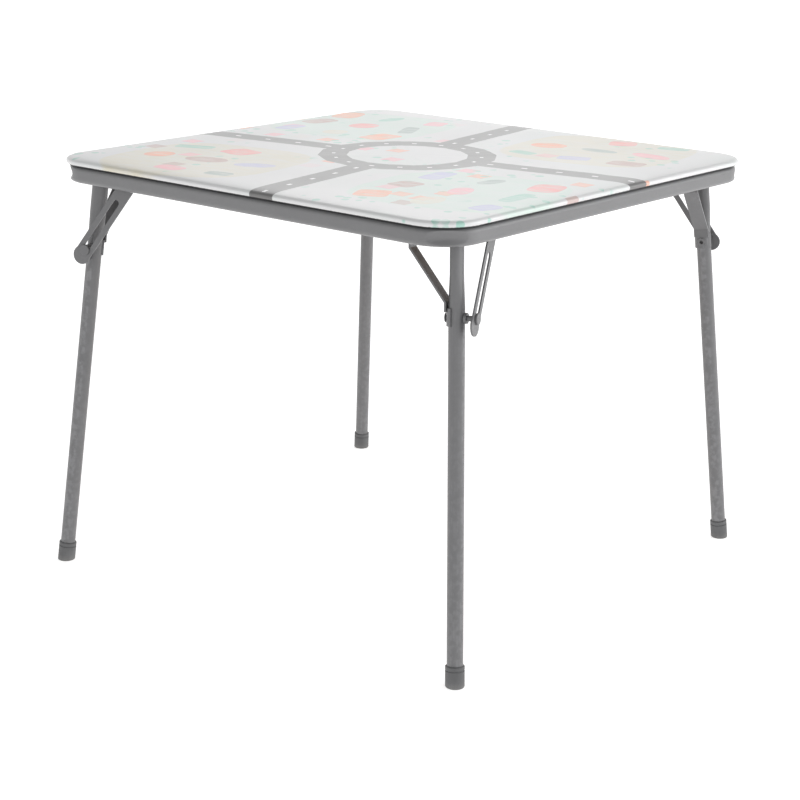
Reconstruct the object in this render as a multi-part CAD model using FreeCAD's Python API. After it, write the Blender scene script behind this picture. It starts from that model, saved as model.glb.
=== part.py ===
import FreeCAD, Part
import math
import os

# Square folding play table, 508 mm high, with a padded vinyl-covered top, a bent
# steel tube frame and four splayed tube legs. Each leg folds on a corner bracket
# along the rail it stands behind, so the folded legs lie in a pinwheel.
# Millimetres, +Z up, origin on the floor under the middle of the table.
# Front is -Y. The corner pieces are drawn for the front left corner and turned
# by quarter turns for the others.

Vector = FreeCAD.Vector

# Overall sizes
TABLE_HEIGHT = 508.0
TOP_SIDE = 610.0
TOP_CORNER_RADIUS = 50.0

# Padded top, from the hem under the edge to the top skin
VINYL = 0.8
PANEL_THICKNESS = 3.0
HEM_BOTTOM = 499.0
HEM_WIDTH = 23.0
TOP_EDGE_ROUND = 3.5

# Bent tube frame
FRAME_SIDE = 606.0
FRAME_CORNER_RADIUS = 50.0
RAIL_WIDTH = 18.5
RAIL_BOTTOM = 479.5
RAIL_ROUND = 6.0
RAIL_WALL = 1.2
BEND_CRUSH_DEPTH = 5.5
BEND_CRUSH_RADIUS = 10.5
RAIL_SCREW_OFFSET = 150.0

# Leg line: where its axis passes the rail's lower edge and where it meets the floor
LEG_TOP_X = -250.3
LEG_TOP_Y = -272.0
LEG_FOOT_X = -287.7
LEG_FOOT_Y = -313.0
FOLD_PLANE_TURN = 17.0
HINGE_HEIGHT = 485.0

# Leg tube, flattened towards its hinge
LEG_RADIUS = 9.0
LEG_WALL = 1.2
LEG_FLAT_HALF = 7.2
LEG_FLAT_WIDE_HALF = 10.4
LEG_ABOVE_HINGE = 6.0
FLAT_END = 42.0
ROUND_START = 76.0
TUBE_END_ABOVE_FLOOR = 4.0

# Foot cap
CAP_RADIUS = 10.7
CAP_HEIGHT = 24.0
CAP_GROOVE_DEPTH = 0.7
CAP_GROOVE_WIDTH = 1.6
CAP_GROOVE_DOWN = 4.2
CAP_EDGE_ROUND = 1.4

# Hinge pin through the bracket's inner ears
PIN_RADIUS = 3.0
RUNNING_CLEARANCE = 0.05
PIN_HEAD_RADIUS = 5.0
PIN_HEAD = 1.6
EAR = 2.2
EAR_RADIUS = 8.0
EAR_GAP = 0.4

# Leg bracket base plate under the panel
PLATE = 2.0
PLATE_TOP = HEM_BOTTOM + VINYL
BASE_OUTLINE = ((-258.0, -281.0), (-176.0, -281.0), (-176.0, -263.0), (-238.0, -201.0),
                (-281.0, -201.0), (-281.0, -258.0))
BASE_SCREWS = ((-272.0, -246.0), (-236.0, -240.0), (-214.0, -246.0), (-212.0, -274.0))
SCREW_RADIUS = 2.0
SCREW_HEAD_RADIUS = 3.2
SCREW_HEAD = 2.2
SCREW_HOLE_RADIUS = 2.2
SCREW_TIP = HEM_BOTTOM + 3.3
ACCESS_HOLE_RADIUS = 5.0

# Lock brace: slotted plate outside the leg, hung from the bracket
LOCK_POINT = 86.5
LOCK_PIVOT_U = 52.4
LOCK_OFFSET = 21.5
LOCK_THICKNESS = 2.0
LOCK_HALF_WIDTH = 10.5
LOCK_SLOT_HALF = 4.0
LOCK_LOBE_BEYOND = 8.0
LOCK_NOTCH_DROP = 3.2
LOCK_RIVET_RADIUS = 3.0
LOCK_RIVET_HEAD_RADIUS = 5.5
LOCK_RIVET_HEAD = 1.6
LOCK_EAR_RADIUS = 8.5

# Lock button that slides in the slot
BUTTON_HEAD_RADIUS = 6.3
BUTTON_HEAD = 2.2
BUTTON_SHANK_RADIUS = 3.6
BUTTON_COLLAR_RADIUS = 6.0
BUTTON_COLLAR = 1.0
OPEN_GAP = 0.3

# Lock stud through the leg
STUD_RADIUS = 3.0
STUD_SHANK_RADIUS = 3.2
STUD_COLLAR_RADIUS = 5.8
STUD_COLLAR = 3.0
STUD_HEAD_RADIUS = 5.2
STUD_HEAD = 1.3
STUD_EYELET_RADIUS = 2.1

# Side brace: strip from the leg's lock point to the far end of the hinge axis
SIDE_PIVOT_OFFSET = 50.0
SIDE_HALF_WIDTH = 9.0
SIDE_THICKNESS = 2.0
SIDE_LUG_LENGTH = 14.0
SIDE_MEET = 70.0
SADDLE_END = 95.0
SADDLE_HALF_ANGLE = 72.0
SIDE_RIVET_RADIUS = 2.5
SIDE_RIVET_HEAD_RADIUS = 4.8
SIDE_RIVET_HEAD = 1.5

CORNERS = ("front_left", "front_right", "back_right", "back_left")
SIDES = ("front", "right", "back", "left")


def fold_axes():
    """Leg direction, fold direction u, hinge axis w and upward axis v, and the hinge point."""
    top = Vector(LEG_TOP_X, LEG_TOP_Y, RAIL_BOTTOM)
    foot = Vector(LEG_FOOT_X, LEG_FOOT_Y, 0.0)
    down = (foot - top).normalize()
    turn = math.radians(FOLD_PLANE_TURN)
    u = Vector(math.cos(turn), math.sin(turn), 0.0)
    level = Vector(-math.sin(turn), math.cos(turn), 0.0)
    w = level - Vector(0, 0, 1) * (level.dot(down) / down.z)
    w.normalize()
    v = u.cross(w)
    hinge = top + down * ((HINGE_HEIGHT - RAIL_BOTTOM) / down.z)
    return down, u, w, v, hinge


DOWN, U_AXIS, W_AXIS, V_AXIS, HINGE = fold_axes()
LEG_ANGLE = math.atan2(-DOWN.dot(U_AXIS), -DOWN.dot(V_AXIS))
LEG_LENGTH = HINGE_HEIGHT / -DOWN.z
CORNER_PLACE = FreeCAD.Placement(FreeCAD.Matrix(
    U_AXIS.x, W_AXIS.x, V_AXIS.x, HINGE.x,
    U_AXIS.y, W_AXIS.y, V_AXIS.y, HINGE.y,
    U_AXIS.z, W_AXIS.z, V_AXIS.z, HINGE.z,
    0, 0, 0, 1))
LOCK_U = -LOCK_POINT * math.sin(LEG_ANGLE)
LOCK_V = -LOCK_POINT * math.cos(LEG_ANGLE)


def to_corner(shape):
    """Move a shape from hinge axes (x along u, y along w, z along v) into the table."""
    moved = shape.copy()
    moved.Placement = CORNER_PLACE.multiply(moved.Placement)
    return moved


def along_leg(shape):
    """Turn a shape drawn with +Z down the leg from the hinge point into hinge axes."""
    moved = shape.copy()
    turned = FreeCAD.Rotation(Vector(0, 1, 0), 180.0 + math.degrees(LEG_ANGLE))
    moved.Placement = FreeCAD.Placement(Vector(0, 0, 0), turned).multiply(moved.Placement)
    return moved


def disc(radius, start, length, x=0.0, z=0.0):
    """Cylinder along y between start and start + length."""
    return Part.makeCylinder(radius, length, Vector(x, start, z), Vector(0, 1, 0))


def upright(radius, bottom, top, x, y):
    return Part.makeCylinder(radius, top - bottom, Vector(x, y, bottom))


def rounded_square(half, radius, bottom, height):
    """Square block with rounded upright corners."""
    block = Part.makeBox(2 * half, 2 * half, height, Vector(-half, -half, bottom))
    upright_edges = [edge for edge in block.Edges if abs(edge.tangentAt(0).z) > 0.9]
    return block.makeFillet(radius, upright_edges)


def level_edges(shape, height):
    """Edges that lie flat at one height."""
    found = []
    for edge in shape.Edges:
        box = edge.BoundBox
        if abs(box.ZMin - height) < 1e-4 and abs(box.ZMax - height) < 1e-4:
            found.append(edge)
    return found


def polygon_face(points):
    return Part.Face(Part.makePolygon(list(points) + [points[0]]))


def rounded_ring(inset, edge_round):
    """Square ring with the rail's section, shrunk on every side by inset."""
    outer_half = FRAME_SIDE / 2 - inset
    inner_half = FRAME_SIDE / 2 - RAIL_WIDTH + inset
    bottom = RAIL_BOTTOM + inset
    height = HEM_BOTTOM - RAIL_BOTTOM - 2 * inset
    outer = rounded_square(outer_half, FRAME_CORNER_RADIUS - inset, bottom, height)
    inner = rounded_square(inner_half, FRAME_CORNER_RADIUS - RAIL_WIDTH + inset,
                           bottom - 1, height + 2)
    ring = outer.cut(inner)
    edges = level_edges(ring, bottom) + level_edges(ring, bottom + height)
    return ring.makeFillet(edge_round, edges)


def crush_cutter(grow):
    """Level cylinder across the front left bend that presses its outside wall in."""
    bend_centre = FRAME_SIDE / 2 - FRAME_CORNER_RADIUS
    reach = FRAME_CORNER_RADIUS - BEND_CRUSH_DEPTH + BEND_CRUSH_RADIUS
    out = -bend_centre - reach / math.sqrt(2)
    middle = Vector(out, out, (RAIL_BOTTOM + HEM_BOTTOM) / 2)
    across = Vector(1, -1, 0).normalize()
    return Part.makeCylinder(BEND_CRUSH_RADIUS + grow, 120.0, middle - across * 60.0, across)


def rail_screw_spots():
    line = FRAME_SIDE / 2 - RAIL_WIDTH / 2
    spots = []
    for side in (-line, line):
        for step in (-RAIL_SCREW_OFFSET, RAIL_SCREW_OFFSET):
            spots.append((step, side))
            spots.append((side, step))
    return spots


def quarter_turn(shape, index):
    turned = shape.copy()
    turned.rotate(Vector(0, 0, 0), Vector(0, 0, 1), 90.0 * index)
    return turned


def base_screw_spots():
    spots = []
    for x, y in BASE_SCREWS:
        for index in range(4):
            spot = FreeCAD.Rotation(Vector(0, 0, 1), 90.0 * index).multVec(Vector(x, y, 0))
            spots.append((spot.x, spot.y))
    return spots


def frame_tube():
    ring = rounded_ring(0.0, RAIL_ROUND)
    hollow = rounded_ring(RAIL_WALL, RAIL_ROUND - RAIL_WALL)
    for index in range(4):
        ring = ring.cut(quarter_turn(crush_cutter(0.0), index))
        hollow = hollow.cut(quarter_turn(crush_cutter(RAIL_WALL), index))
    tube = ring.cut(hollow)
    middle = (RAIL_BOTTOM + HEM_BOTTOM) / 2
    for x, y in rail_screw_spots():
        tube = tube.cut(upright(ACCESS_HOLE_RADIUS, RAIL_BOTTOM - 1, middle, x, y))
        tube = tube.cut(upright(SCREW_HOLE_RADIUS, middle, HEM_BOTTOM + 1, x, y))
    return tube


def frame_lengths(tube):
    """Straight front rail and front left bend of the frame tube, cut square across it."""
    straight_half = FRAME_SIDE / 2 - FRAME_CORNER_RADIUS
    beyond = FRAME_SIDE / 2 + 10 - straight_half
    height = HEM_BOTTOM - RAIL_BOTTOM + 20
    rail_space = Part.makeBox(2 * straight_half, beyond, height,
                              Vector(-straight_half, -straight_half - beyond, RAIL_BOTTOM - 10))
    bend_space = Part.makeBox(beyond, beyond, height,
                              Vector(-straight_half - beyond, -straight_half - beyond,
                                     RAIL_BOTTOM - 10))
    return tube.common(rail_space), tube.common(bend_space)


def screw(x, y, head_top):
    head = upright(SCREW_HEAD_RADIUS, head_top - SCREW_HEAD, head_top, x, y)
    head = head.makeFillet(1.0, level_edges(head, head_top - SCREW_HEAD))
    slot = Part.makeBox(5.0, 0.9, 0.9, Vector(x - 2.5, y - 0.45, head_top - SCREW_HEAD))
    cross = Part.makeBox(0.9, 5.0, 0.9, Vector(x - 0.45, y - 2.5, head_top - SCREW_HEAD))
    shank = upright(SCREW_RADIUS, head_top, SCREW_TIP, x, y)
    return head.fuse(shank).cut(slot.fuse(cross))


def top_panel():
    half = TOP_SIDE / 2 - VINYL
    board = rounded_square(half, TOP_CORNER_RADIUS - VINYL, PLATE_TOP, PANEL_THICKNESS)
    for x, y in rail_screw_spots() + base_screw_spots():
        board = board.cut(upright(SCREW_RADIUS, PLATE_TOP - 1, SCREW_TIP, x, y))
    return board


def top_foam():
    half = TOP_SIDE / 2 - VINYL
    bottom = PLATE_TOP + PANEL_THICKNESS
    height = TABLE_HEIGHT - VINYL - bottom
    slab = rounded_square(half, TOP_CORNER_RADIUS - VINYL, bottom, height)
    return slab.makeFillet(TOP_EDGE_ROUND - VINYL, level_edges(slab, bottom + height))


def top_cover():
    half = TOP_SIDE / 2
    outside = rounded_square(half, TOP_CORNER_RADIUS, HEM_BOTTOM, TABLE_HEIGHT - HEM_BOTTOM)
    outside = outside.makeFillet(TOP_EDGE_ROUND, level_edges(outside, TABLE_HEIGHT))
    height = TABLE_HEIGHT - VINYL - PLATE_TOP
    inside = rounded_square(half - VINYL, TOP_CORNER_RADIUS - VINYL, PLATE_TOP, height)
    inside = inside.makeFillet(TOP_EDGE_ROUND - VINYL, level_edges(inside, PLATE_TOP + height))
    window = rounded_square(half - HEM_WIDTH, TOP_CORNER_RADIUS - HEM_WIDTH,
                            HEM_BOTTOM - 1, VINYL + 2)
    cover = outside.cut(inside).cut(window)
    for x, y in rail_screw_spots():
        cover = cover.cut(upright(SCREW_HOLE_RADIUS, HEM_BOTTOM - 1, PLATE_TOP + 1, x, y))
    return cover


def ear(radius, start, x, reach):
    """Bracket ear: a disc on the pivot with a web that widens up to the base plate."""
    web = [(x - radius, 0.0), (x - reach, 20.0), (x + reach, 20.0), (x + radius, 0.0)]
    face = polygon_face([Vector(a, start, b) for a, b in web])
    return disc(radius, start, EAR, x).fuse(face.extrude(Vector(0, EAR, 0)))


def leg_bracket():
    near = LEG_FLAT_HALF + EAR_GAP
    lock_ear_start = -LOCK_OFFSET + LOCK_THICKNESS / 2 + OPEN_GAP
    side_ear_start = SIDE_PIVOT_OFFSET + SIDE_THICKNESS / 2 + OPEN_GAP
    ears = ear(EAR_RADIUS, -near - EAR, 0.0, 11.0)
    ears = ears.fuse(ear(EAR_RADIUS, near, 0.0, 13.0))
    ears = ears.fuse(ear(EAR_RADIUS, side_ear_start, 0.0, 12.0))
    ears = ears.fuse(ear(LOCK_EAR_RADIUS, lock_ear_start, LOCK_PIVOT_U, 11.0))
    ears = ears.cut(disc(PIN_RADIUS, -near - EAR - 1, 2 * (near + EAR + 1)))
    ears = ears.cut(disc(SIDE_RIVET_RADIUS, side_ear_start - 1, EAR + 2))
    ears = ears.cut(disc(LOCK_RIVET_RADIUS, lock_ear_start - 1, EAR + 2, LOCK_PIVOT_U))
    ears = to_corner(ears)
    above = Part.makeBox(200, 200, 40, Vector(-330, -330, PLATE_TOP - PLATE / 2))
    ears = ears.cut(above)
    base = polygon_face([Vector(x, y, PLATE_TOP - PLATE) for x, y in BASE_OUTLINE])
    base = base.extrude(Vector(0, 0, PLATE))
    for x, y in BASE_SCREWS:
        base = base.cut(upright(SCREW_HOLE_RADIUS, PLATE_TOP - PLATE - 1, PLATE_TOP + 1, x, y))
    return base.fuse(ears).removeSplitter()


def hinge_pin():
    end = LEG_FLAT_HALF + EAR_GAP + EAR
    pin = disc(PIN_RADIUS, -end, 2 * end)
    pin = pin.fuse(disc(PIN_HEAD_RADIUS, -end - PIN_HEAD, PIN_HEAD))
    pin = pin.fuse(disc(PIN_HEAD_RADIUS, end, PIN_HEAD))
    return to_corner(pin.removeSplitter())


def pivot_rivet(radius, head_radius, head, start, end, x):
    rivet = disc(radius, start, end - start, x)
    rivet = rivet.fuse(disc(head_radius, start - head, head, x))
    rivet = rivet.fuse(disc(head_radius, end, head, x))
    return to_corner(rivet.removeSplitter())


def side_pivot_rivet():
    start = SIDE_PIVOT_OFFSET - SIDE_THICKNESS / 2 - OPEN_GAP
    end = SIDE_PIVOT_OFFSET + SIDE_THICKNESS / 2 + OPEN_GAP + EAR
    return pivot_rivet(SIDE_RIVET_RADIUS, SIDE_RIVET_HEAD_RADIUS, SIDE_RIVET_HEAD,
                       start, end, 0.0)


def lock_pivot_rivet():
    start = -LOCK_OFFSET - LOCK_THICKNESS / 2 - OPEN_GAP
    end = -LOCK_OFFSET + LOCK_THICKNESS / 2 + OPEN_GAP + EAR
    return pivot_rivet(LOCK_RIVET_RADIUS, LOCK_RIVET_HEAD_RADIUS, LOCK_RIVET_HEAD,
                       start, end, LOCK_PIVOT_U)


def oval(half_wide, half_flat, distance):
    """Closed oval across the leg at a distance down it."""
    if half_wide - half_flat < 1e-6:
        return Part.Wire(Part.makeCircle(half_wide, Vector(0, 0, distance)))
    shape = Part.Ellipse(Vector(0, 0, 0), half_wide, half_flat).toShape()
    shape.translate(Vector(0, 0, distance))
    return Part.Wire(shape)


def leg_body(inset, start, end):
    """Leg solid: oval by the hinge, easing into a round tube."""
    wide = LEG_FLAT_WIDE_HALF - inset
    flat = LEG_FLAT_HALF - inset
    radius = LEG_RADIUS - inset
    upper = Part.Face(oval(wide, flat, start)).extrude(Vector(0, 0, FLAT_END - start))
    middle = Part.makeLoft([oval(wide, flat, FLAT_END), oval(radius, radius, ROUND_START)], True)
    lower = Part.makeCylinder(radius, end - ROUND_START, Vector(0, 0, ROUND_START))
    return upper.fuse(middle).fuse(lower)


def leg_tube():
    tube_end = LEG_LENGTH - TUBE_END_ABOVE_FLOOR
    outside = leg_body(0.0, -LEG_ABOVE_HINGE, tube_end)
    inside = leg_body(LEG_WALL, -LEG_ABOVE_HINGE - 1, tube_end + 1)
    tube = outside.cut(inside).removeSplitter()
    tube = along_leg(tube)
    tube = tube.cut(disc(PIN_RADIUS + RUNNING_CLEARANCE, -30, 60))
    tube = tube.cut(disc(STUD_SHANK_RADIUS, -30, 60, LOCK_U, LOCK_V))
    return to_corner(tube)


def foot_cap():
    tube_end = LEG_LENGTH - TUBE_END_ABOVE_FLOOR
    top = LEG_LENGTH - CAP_HEIGHT
    groove = top + CAP_GROOVE_DOWN
    inner = CAP_RADIUS - CAP_GROOVE_DEPTH
    profile = [(0, LEG_LENGTH + 8), (CAP_RADIUS, LEG_LENGTH + 8),
               (CAP_RADIUS, groove + CAP_GROOVE_WIDTH), (inner, groove + CAP_GROOVE_WIDTH),
               (inner, groove), (CAP_RADIUS, groove), (CAP_RADIUS, top + 0.8),
               (CAP_RADIUS - 0.8, top), (LEG_RADIUS, top), (LEG_RADIUS, tube_end),
               (0, tube_end)]
    face = polygon_face([Vector(r, 0, t) for r, t in profile])
    cap = face.revolve(Vector(0, 0, 0), Vector(0, 0, 1), 360.0)
    cap = to_corner(along_leg(cap))
    floor = Part.makeBox(80, 80, 40, Vector(LEG_FOOT_X - 40, LEG_FOOT_Y - 40, -40))
    cap = cap.cut(floor)
    return cap.makeFillet(CAP_EDGE_ROUND, level_edges(cap, 0.0))


def bent_strip(path, thickness, half_width):
    """Strip that follows a path in the y-z plane, mitred at each bend."""
    left = []
    right = []
    for index, point in enumerate(path):
        before = (point - path[max(index - 1, 0)])
        after = (path[min(index + 1, len(path) - 1)] - point)
        if before.Length < 1e-9:
            before = after
        if after.Length < 1e-9:
            after = before
        side_before = Vector(0, -before.z, before.y).normalize()
        side_after = Vector(0, -after.z, after.y).normalize()
        side = (side_before + side_after).normalize()
        reach = thickness / 2 / side.dot(side_before)
        left.append(point + side * reach)
        right.append(point - side * reach)
    outline = [p - Vector(half_width, 0, 0) for p in left + right[::-1]]
    return polygon_face(outline).extrude(Vector(2 * half_width, 0, 0))


def side_brace():
    against = LEG_RADIUS + SIDE_THICKNESS / 2
    path = [Vector(0, SIDE_PIVOT_OFFSET, 0.0), Vector(0, SIDE_PIVOT_OFFSET, SIDE_LUG_LENGTH),
            Vector(0, against, SIDE_MEET), Vector(0, against, ROUND_START + 4)]
    strip = bent_strip(path, SIDE_THICKNESS, SIDE_HALF_WIDTH)
    lug = disc(SIDE_HALF_WIDTH, SIDE_PIVOT_OFFSET - SIDE_THICKNESS / 2, SIDE_THICKNESS)
    saddle = Part.makeCylinder(LEG_RADIUS + SIDE_THICKNESS, SADDLE_END - ROUND_START,
                               Vector(0, 0, ROUND_START), Vector(0, 0, 1), 2 * SADDLE_HALF_ANGLE)
    saddle.rotate(Vector(0, 0, 0), Vector(0, 0, 1), 90.0 - SADDLE_HALF_ANGLE)
    saddle = saddle.cut(Part.makeCylinder(LEG_RADIUS, 60, Vector(0, 0, ROUND_START - 10)))
    brace = strip.fuse(lug).fuse(saddle)
    brace = brace.cut(disc(SIDE_RIVET_RADIUS + RUNNING_CLEARANCE, SIDE_PIVOT_OFFSET - 10, 20))
    brace = brace.cut(disc(STUD_SHANK_RADIUS, 0, 30, 0.0, LOCK_POINT))
    return to_corner(along_leg(brace.removeSplitter()))


def lock_stud():
    """Stud through the leg: eyelet head on the saddle, collar and stem on the outside."""
    saddle = LEG_RADIUS + SIDE_THICKNESS
    stem_end = -LOCK_OFFSET + LOCK_THICKNESS / 2 + OPEN_GAP + BUTTON_COLLAR + OPEN_GAP
    stud = disc(STUD_SHANK_RADIUS, -LEG_RADIUS, saddle + LEG_RADIUS)
    stud = stud.fuse(disc(STUD_HEAD_RADIUS, saddle, STUD_HEAD))
    stud = stud.fuse(disc(STUD_COLLAR_RADIUS, -LEG_RADIUS - STUD_COLLAR, STUD_COLLAR))
    stud = stud.fuse(disc(STUD_RADIUS, stem_end, -LEG_RADIUS - STUD_COLLAR - stem_end))
    stud = stud.cut(disc(STUD_EYELET_RADIUS, saddle - 3, 10))
    stud = stud.removeSplitter()
    stud.translate(Vector(LOCK_U, 0, LOCK_V))
    return to_corner(stud)


def lock_frame():
    """Placement that takes +X from the lock brace pivot towards the lock point."""
    angle = math.degrees(math.atan2(LOCK_V, LOCK_U - LOCK_PIVOT_U))
    return FreeCAD.Placement(Vector(LOCK_PIVOT_U, -LOCK_OFFSET, 0),
                             FreeCAD.Rotation(Vector(0, 1, 0), -angle))


def slot_block(half, start, end, z=0.0):
    """Round-ended block along +X, as deep as the slot cut."""
    block = Part.makeBox(end - start, 20, 2 * half, Vector(start, -10, z - half))
    block = block.fuse(disc(half, -10, 20, start, z))
    return block.fuse(disc(half, -10, 20, end, z))


def lock_brace():
    rest = math.hypot(LOCK_U - LOCK_PIVOT_U, LOCK_V)
    folded = LOCK_POINT - LOCK_PIVOT_U
    lobe = rest + LOCK_LOBE_BEYOND
    half = LOCK_THICKNESS / 2
    plate = Part.makeBox(lobe, LOCK_THICKNESS, 2 * LOCK_HALF_WIDTH,
                         Vector(0, -half, -LOCK_HALF_WIDTH))
    plate = plate.fuse(disc(LOCK_HALF_WIDTH, -half, LOCK_THICKNESS))
    plate = plate.fuse(disc(LOCK_HALF_WIDTH + 0.8, -half, LOCK_THICKNESS, lobe))
    slot = slot_block(LOCK_SLOT_HALF, folded - 1.0, rest)
    notch = disc(LOCK_SLOT_HALF, -10, 20, rest + 0.6, -LOCK_NOTCH_DROP)
    plate = plate.cut(slot.fuse(notch))
    plate = plate.cut(disc(LOCK_RIVET_RADIUS + RUNNING_CLEARANCE, -10, 20))
    plate.Placement = lock_frame().multiply(plate.Placement)
    return to_corner(plate.removeSplitter())


def lock_button():
    rest = math.hypot(LOCK_U - LOCK_PIVOT_U, LOCK_V)
    half = LOCK_THICKNESS / 2 + OPEN_GAP
    button = disc(BUTTON_SHANK_RADIUS, -half, 2 * half, rest)
    head = disc(BUTTON_HEAD_RADIUS, -half - BUTTON_HEAD, BUTTON_HEAD, rest)
    rim = [edge for edge in head.Edges
           if abs(edge.BoundBox.YMin + half + BUTTON_HEAD) < 1e-4
           and abs(edge.BoundBox.YMax + half + BUTTON_HEAD) < 1e-4]
    button = button.fuse(head.makeFillet(0.8, rim))
    button = button.fuse(disc(BUTTON_COLLAR_RADIUS, half, BUTTON_COLLAR, rest))
    button.Placement = lock_frame().multiply(button.Placement)
    return to_corner(button.removeSplitter())


def save(shape, node):
    shape.exportStep(os.path.join("parts", node + ".step"))


def main():
    os.makedirs("parts", exist_ok=True)
    rail, bend = frame_lengths(frame_tube())
    for index, side in enumerate(SIDES):
        save(quarter_turn(rail, index), "frame_rail_" + side)
    for index, corner in enumerate(CORNERS):
        save(quarter_turn(bend, index), "frame_bend_" + corner)
    save(top_panel(), "top_panel")
    save(top_foam(), "top_foam")
    save(top_cover(), "top_cover")
    rail_screws = [screw(x, y, HEM_BOTTOM - RAIL_WALL) for x, y in rail_screw_spots()]
    save(Part.makeCompound(rail_screws), "frame_screws")
    base_screws = [screw(x, y, PLATE_TOP - PLATE) for x, y in base_screw_spots()]
    save(Part.makeCompound(base_screws), "bracket_screws")
    corner_pieces = {
        "leg_bracket": leg_bracket(),
        "hinge_pin": hinge_pin(),
        "side_pivot_rivet": side_pivot_rivet(),
        "lock_pivot_rivet": lock_pivot_rivet(),
        "leg_tube": leg_tube(),
        "foot_cap": foot_cap(),
        "side_brace": side_brace(),
        "lock_stud": lock_stud(),
        "lock_brace": lock_brace(),
        "lock_button": lock_button(),
    }
    for name, piece in corner_pieces.items():
        for index, corner in enumerate(CORNERS):
            save(quarter_turn(piece, index), name + "_" + corner)


main()
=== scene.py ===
import math

import bmesh
import bpy
from bpy.props import FloatProperty, FloatVectorProperty, PointerProperty
from mathutils import Matrix, Vector, noise


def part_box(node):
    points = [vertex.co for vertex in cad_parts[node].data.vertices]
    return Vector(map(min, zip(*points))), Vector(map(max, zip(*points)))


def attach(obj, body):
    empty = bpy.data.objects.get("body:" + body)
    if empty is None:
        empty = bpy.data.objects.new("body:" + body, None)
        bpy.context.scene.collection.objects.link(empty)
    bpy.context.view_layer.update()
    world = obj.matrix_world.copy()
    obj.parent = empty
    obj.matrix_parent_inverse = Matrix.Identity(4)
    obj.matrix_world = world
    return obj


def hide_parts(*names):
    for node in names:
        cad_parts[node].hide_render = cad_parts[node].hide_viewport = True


bl_info = {
    "name": "Folding Play Table",
    "version": (1, 0, 0),
    "blender": (4, 5, 0),
    "location": "View3D > Sidebar > Play Table",
    "description": "Builds the looks of a square folding play table around its packed frame",
    "category": "Object",
}

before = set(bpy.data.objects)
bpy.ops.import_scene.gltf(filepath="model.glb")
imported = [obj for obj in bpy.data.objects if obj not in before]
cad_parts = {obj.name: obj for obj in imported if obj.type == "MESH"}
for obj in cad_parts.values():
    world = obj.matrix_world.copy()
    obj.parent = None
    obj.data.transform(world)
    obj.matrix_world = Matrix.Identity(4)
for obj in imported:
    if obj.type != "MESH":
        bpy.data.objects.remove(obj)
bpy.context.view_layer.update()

CORNERS = ("front_left", "front_right", "back_right", "back_left")
SIDES = ("front", "right", "back", "left")
COVER_LOW, COVER_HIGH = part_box("top_cover")
RAIL_LOW, RAIL_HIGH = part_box("frame_rail_front")
PANEL_LOW, PANEL_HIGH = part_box("top_panel")


# ---------------------------------------------------------------- properties


def length(name, text, default):
    return FloatProperty(name=name, description=text, default=default, unit="LENGTH",
                         precision=5, min=0.0)


def colour(name, text, default):
    return FloatVectorProperty(name=name, description=text, default=default, size=3,
                               subtype="COLOR", min=0.0, max=1.0)


class PlayTableSizes(bpy.types.PropertyGroup):
    corner_radius: length("Corner radius", "Radius of the padded top's corners in plan", 0.05)
    hem_width: length("Hem width", "How far the vinyl is turned under the panel", 0.023)
    vinyl: length("Vinyl thickness", "Thickness of the cover", 0.0008)
    crown: length("Crown", "How far the padding stands up inside the edge", 0.0009)
    ripple: length("Ripple", "Height of the soft ripples in the padding", 0.0003)
    pucker: length("Pucker", "Depth of the gathers round each corner", 0.0006)
    rail_round: length("Rail edge round", "Corner radius of the rail's section", 0.006)
    crush_depth: length("Crush depth", "How far the outside of each bend is pressed in", 0.0055)
    crush_radius: length("Crush radius", "Radius of the pressed hollow", 0.0105)
    ring_radius: length("Roundabout radius", "Middle of the printed roundabout's road", 0.092)
    road_half: length("Road half width", "Half the width of the printed roads", 0.017)
    dash_pitch: length("Dash pitch", "Spacing of the white dashes on the straight roads", 0.046)
    block_half: length("Block size", "Half the size of a usual printed block", 0.021)
    map_turn: FloatProperty(name="Map turn", default=8.0,
                            description="Turn of the printed map on the top, in degrees")
    plate_edge: length("Plate edge", "Rolled edge on the pressed steel plates", 0.00035)


class PlayTableColours(bpy.types.PropertyGroup):
    ground: colour("Ground", "Pale ground of the printed vinyl", (0.63, 0.63, 0.635))
    mist: colour("Mist", "Pale green wash on the ground", (0.52, 0.64, 0.58))
    sand: colour("Sand", "Pale sandy blocks between the roads", (0.62, 0.58, 0.46))
    road: colour("Road", "Printed roads", (0.080, 0.078, 0.077))
    marking: colour("Marking", "White dashes on the roads", (0.86, 0.86, 0.86))
    mint: colour("Mint", "Printed grass and water", (0.20, 0.50, 0.40))
    coral: colour("Coral", "Printed coral roofs", (0.86, 0.20, 0.18))
    pink: colour("Pink", "Printed pink flower beds", (0.88, 0.30, 0.36))
    orange: colour("Orange", "Printed orange paths", (0.88, 0.26, 0.08))
    clay: colour("Clay", "Printed brown roofs", (0.42, 0.22, 0.18))
    slate: colour("Slate", "Printed grey-green trees and walls", (0.24, 0.33, 0.30))
    lilac: colour("Lilac", "Printed lilac flower bed", (0.42, 0.42, 0.66))
    # Painted shade: a near-black colour for the lowest strip of the pad where it turns under, standing in
    # for the shadow in the gap between pad and rail.
    painted_hem_shade: colour("Painted_Hem_Shade", "Dark backing where the vinyl turns under", (0.012, 0.012, 0.013))
    frame_grey: colour("Frame grey", "Powder coat on the frame tube", (0.163, 0.163, 0.167))
    leg_grey: colour("Leg grey", "Powder coat on the legs and braces", (0.138, 0.138, 0.142))
    cap_grey: colour("Cap grey", "Moulded foot caps", (0.106, 0.107, 0.110))
    zinc: colour("Zinc", "Plated pins and rivets", (0.52, 0.52, 0.53))
    board: colour("Board", "Bare hardboard under the top", (0.20, 0.115, 0.06))
    floor: colour("Floor", "Pale floor under the table", (0.88, 0.88, 0.88))


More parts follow.
